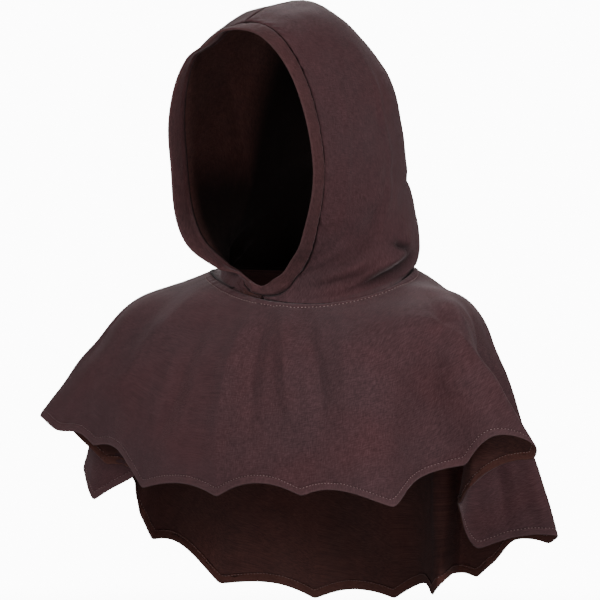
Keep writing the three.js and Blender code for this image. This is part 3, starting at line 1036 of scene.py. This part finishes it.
# Stitches: short ellipsoids that lie half sunk along a line of points on a sheet, on its outside or,
# where it has a thickness to go through, on its inside.
def makeStitches(name, points, tree, inside, length, thick, skip):
    bm = bmesh.new()
    travelled = 0.0
    for first, second in zip(points, points[1:]):
        travelled += (second - first).length
        if travelled < length:
            continue
        travelled = 0.0
        hit, normal, index, distance = tree.find_nearest(second, 0.03)
        along = (second - first).normalized()
        along = (along - normal * along.dot(normal)).normalized()
        if inside:
            normal = -normal
            hit = hit + normal * inside
        side = normal.cross(along)
        turn = Matrix((along, side, normal)).transposed().to_4x4()
        size = Matrix.Diagonal((length * (1 - skip) / 2, thick, thick, 1))
        sunk = Matrix.Translation(hit + normal * thick * 0.35)
        bmesh.ops.create_icosphere(bm, subdivisions=1, radius=1, matrix=sunk @ turn @ size)
    return pieceFrom(bm, name, [seamThread])


def capeLine(distance, atHem, steps=4000):
    points = []
    for i in range(steps + 1):
        s = i / steps % 1
        t = 1 - (dagCut(s) + distance) / hemSpeed(s) if atHem else distance / neckSpeed(s)
        points.append(capePlace(s, t))
    return points


stitches = {
    # length from one to the next, half thickness, share of the length that is skipped
    "neck": (0.0042, 0.0005, 0.5),
    "hem": (0.0038, 0.00032, 0.45),
    "facing": (0.0036, 0.00026, 0.3),
    "facingLine": 0.0101,   # from the hem's edge up to the stitches of the facing
}
neckLine = capeLine(cape["neckStitch"], False)
neckStitches = makeStitches("neckStitches", neckLine, capeTree, 0, *stitches["neck"])
hemLine = capeLine(cape["hemStitch"], True, 9000)
hemStitches = makeStitches("hemStitches", hemLine, capeTree, 0, *stitches["hem"])
facingLine = capeLine(stitches["facingLine"], True, 9000)
facingStitches = makeStitches("facingStitches", facingLine, facingTree, facing["wall"], *stitches["facing"])
print("stage: stitches laid")

# Studio: a pale floor that turns up behind, soft lights and a long lens at the photograph's angle.
studio = {
    "azimuth": 38,
    "elevation": 2,
    "distance": 15,
    "width": 0.672,
    "aim": (-0.014, -0.3295),   # to the side of the view and its height
    "floor": -0.684,
    "bowl": [(0, 0), (0.5, 0), (1, 0), (2, 0), (6, 0), (23.4, 0), (24.6, 0.5), (25.3, 1.8), (25.5, 4),
             (25.5, 25)],       # profile of the floor: distance and rise
    "white": 12.0,
    "around": 0.16,
    "lights": [
        # name, azimuth, elevation, distance, size, power
        ("leftKey", -12, 20, 2.4, 0.7, 26),
        ("rightKey", 80, 17, 2.4, 0.6, 33),
        ("front", 38, -4, 3.2, 1.2, 20),
        ("behind", 215, 40, 2.4, 1.0, 30),
    ],
}
azimuth = math.radians(studio["azimuth"])
elevation = math.radians(studio["elevation"])
viewRight = Vector((math.cos(azimuth), math.sin(azimuth), 0))
viewBack = Vector((math.sin(azimuth) * math.cos(elevation), -math.cos(azimuth) * math.cos(elevation),
                   math.sin(elevation)))
viewUp = viewBack.cross(viewRight)
target = viewRight * studio["aim"][0] + Vector((0, 0, studio["aim"][1]))
lens = bpy.data.cameras.new("camera")
lens.sensor_width = 36
lens.lens = 36 * studio["distance"] / studio["width"]
lens.clip_end = 100
camera = bpy.data.objects.new("camera", lens)
camera.matrix_world = Matrix.Translation(target + viewBack * studio["distance"]) @ Matrix(
    (viewRight, viewUp, viewBack)).transposed().to_4x4()
bpy.context.scene.collection.objects.link(camera)
bpy.context.scene.camera = camera

# The floor is pale where the hood stands, fades to plain white and turns up far away all round.
floorFinish = Finish("floorFinish")
place = floorFinish.node("ShaderNodeTexCoord", {}, {}, 3)
grain = floorFinish.noise(place, 3.0)
floorFinish.feed(Base_Color=floorFinish.blend(grain, (0.88, 0.88, 0.88, 1), (0.92, 0.92, 0.92, 1)),
                 Roughness=0.9, Specular_IOR_Level=0.1)
away = floorFinish.node("ShaderNodeVectorMath", {"operation": "LENGTH"}, {0: place}, 1)
fade = floorFinish.node("ShaderNodeMapRange", {"interpolation_type": "SMOOTHSTEP"},
                        {"Value": away, 1: 0.1, 2: 1.0, 3: 0.35, 4: 1.0})
white = floorFinish.node("ShaderNodeEmission", {}, {"Color": (1, 1, 1, 1), "Strength": studio["white"]})
mixed = floorFinish.node("ShaderNodeMixShader", {}, {
    0: fade, 1: Wire(floorFinish.tree, floorFinish.shader.outputs[0]), 2: white})
floorFinish.tree.links.new(mixed.socket, floorFinish.tree.nodes["Material Output"].inputs[0])
floorBm = bmesh.new()
line = [floorBm.verts.new((across, 0, studio["floor"] + rise)) for across, rise in studio["bowl"]]
edges = [floorBm.edges.new(pair) for pair in zip(line, line[1:])]
bmesh.ops.spin(floorBm, geom=line + edges, axis=(0, 0, 1), cent=(0, 0, 0), angle=2 * math.pi,
               steps=96, use_merge=True, use_duplicate=False)
bmesh.ops.remove_doubles(floorBm, verts=floorBm.verts, dist=1e-5)
bmesh.ops.recalc_face_normals(floorBm, faces=floorBm.faces)
floorMesh = bpy.data.meshes.new("floor")
floorBm.to_mesh(floorMesh)
floorBm.free()
floorMesh.shade_smooth()
floorMesh.materials.append(floorFinish.material)
floor = bpy.data.objects.new("floor", floorMesh)
floor.visible_diffuse = False
floor.visible_glossy = False
floor.visible_shadow = False
bpy.context.scene.collection.objects.link(floor)

world = bpy.data.worlds.new("studio")
bpy.context.scene.world = world
world.use_nodes = True
world.node_tree.nodes["Background"].inputs["Color"].default_value = (1, 1, 1, 1)
world.node_tree.nodes["Background"].inputs["Strength"].default_value = studio["around"]


def areaLight(name, azimuthDegrees, elevationDegrees, distance, size, power):
    light = bpy.data.lights.new(name, "AREA")
    light.shape = "DISK"
    light.size = size
    light.energy = power
    lamp = bpy.data.objects.new(name, light)
    turn, rise = math.radians(azimuthDegrees), math.radians(elevationDegrees)
    back = Vector((math.sin(turn) * math.cos(rise), -math.cos(turn) * math.cos(rise), math.sin(rise)))
    aimed = back.to_track_quat("Z", "Y").to_matrix().to_4x4()
    lamp.matrix_world = Matrix.Translation(target + back * distance) @ aimed
    bpy.context.scene.collection.objects.link(lamp)


for row in studio["lights"]:
    areaLight(*row)
print("stage: studio set")
